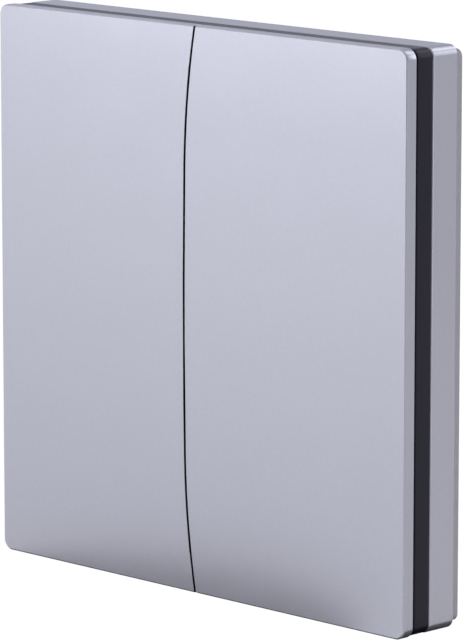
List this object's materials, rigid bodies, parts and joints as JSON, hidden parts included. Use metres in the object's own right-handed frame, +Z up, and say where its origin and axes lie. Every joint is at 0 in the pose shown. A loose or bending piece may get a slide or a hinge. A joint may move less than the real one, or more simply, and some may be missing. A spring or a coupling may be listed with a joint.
{
  "type": "wireless remote wall switch",
  "caption": "Flat square wall switch: pressed rocker keys with a curved seam, dark band, silver base, clip-on wall plate and coin-cell radio board inside.",
  "frame": {"origin": "centre of the wall plate's wall face", "axes": "+X to the right as seen from the front, +Y into the wall (the keys face -Y), +Z up"},
  "size_m": [0.086, 0.012, 0.086],
  "materials": {
    "key_finish": "satin silver paint",
    "base_finish": "satin silver paint",
    "plate_plastic": "fine texture",
    "dark_plastic": "satin charcoal",
    "holder_plastic": "moulded black",
    "plunger_plastic": "moulded natural",
    "chip_plastic": "moulded epoxy",
    "board_laminate": "green solder mask",
    "capacitor_body": "tan ceramic",
    "led_resin": "milky resin",
    "cell_steel": "plated steel",
    "contact_metal": "nickel plated",
    "can_metal": "tin plated",
    "screw_steel": "zinc plated"
  },
  "bodies": {
    "housing": {"carrier": "dark_plastic", "base_housing": "base_finish", "wall_plate": "plate_plastic", "battery_lid": "base_finish", "coin_cell": "cell_steel", "cell_holder": "holder_plastic", "positive_contact": "contact_metal", "negative_contact": "contact_metal", "circuit_board": "board_laminate", "left_switch_body": "holder_plastic", "right_switch_body": "holder_plastic", "left_switch_cover": "can_metal", "right_switch_cover": "can_metal", "radio_chip": "chip_plastic", "shield_can": "can_metal", "crystal": "can_metal", "bulk_capacitor": "capacitor_body", "chip_capacitors": "capacitor_body", "status_led": "led_resin", "antenna": "contact_metal", "board_screws": "screw_steel", "housing_screws": "screw_steel"},
    "left_key": {"left_key": "key_finish"},
    "right_key": {"right_key": "key_finish"},
    "left_plunger": {"left_plunger": "plunger_plastic"},
    "right_plunger": {"right_plunger": "plunger_plastic"}
  },
  "joints": [
    {"name": "left_key_hinge", "type": "hinge", "parent": "housing", "child": "left_key", "pos_m": [-0.022, -0.0089, 0.0385], "axis": [1, 0, 0], "range_deg": [0, 0.1697], "stiffness_Nm_per_rad": 4, "springref_deg": -1.15},
    {"name": "right_key_hinge", "type": "hinge", "parent": "housing", "child": "right_key", "pos_m": [0.022, -0.0089, 0.0385], "axis": [1, 0, 0], "range_deg": [0, 0.1697], "stiffness_Nm_per_rad": 4, "springref_deg": -1.15},
    {"name": "left_plunger_slide", "type": "slide", "parent": "housing", "child": "left_plunger", "axis": [0, 1, 0], "range_m": [0, 0.000201]},
    {"name": "right_plunger_slide", "type": "slide", "parent": "housing", "child": "right_plunger", "axis": [0, 1, 0], "range_m": [0, 0.000201]}
  ],
  "couplings": [
    {"joint": "left_plunger_slide", "follows": "left_key_hinge", "m_per_rad": 0.0675},
    {"joint": "right_plunger_slide", "follows": "right_key_hinge", "m_per_rad": 0.0675}
  ]
}
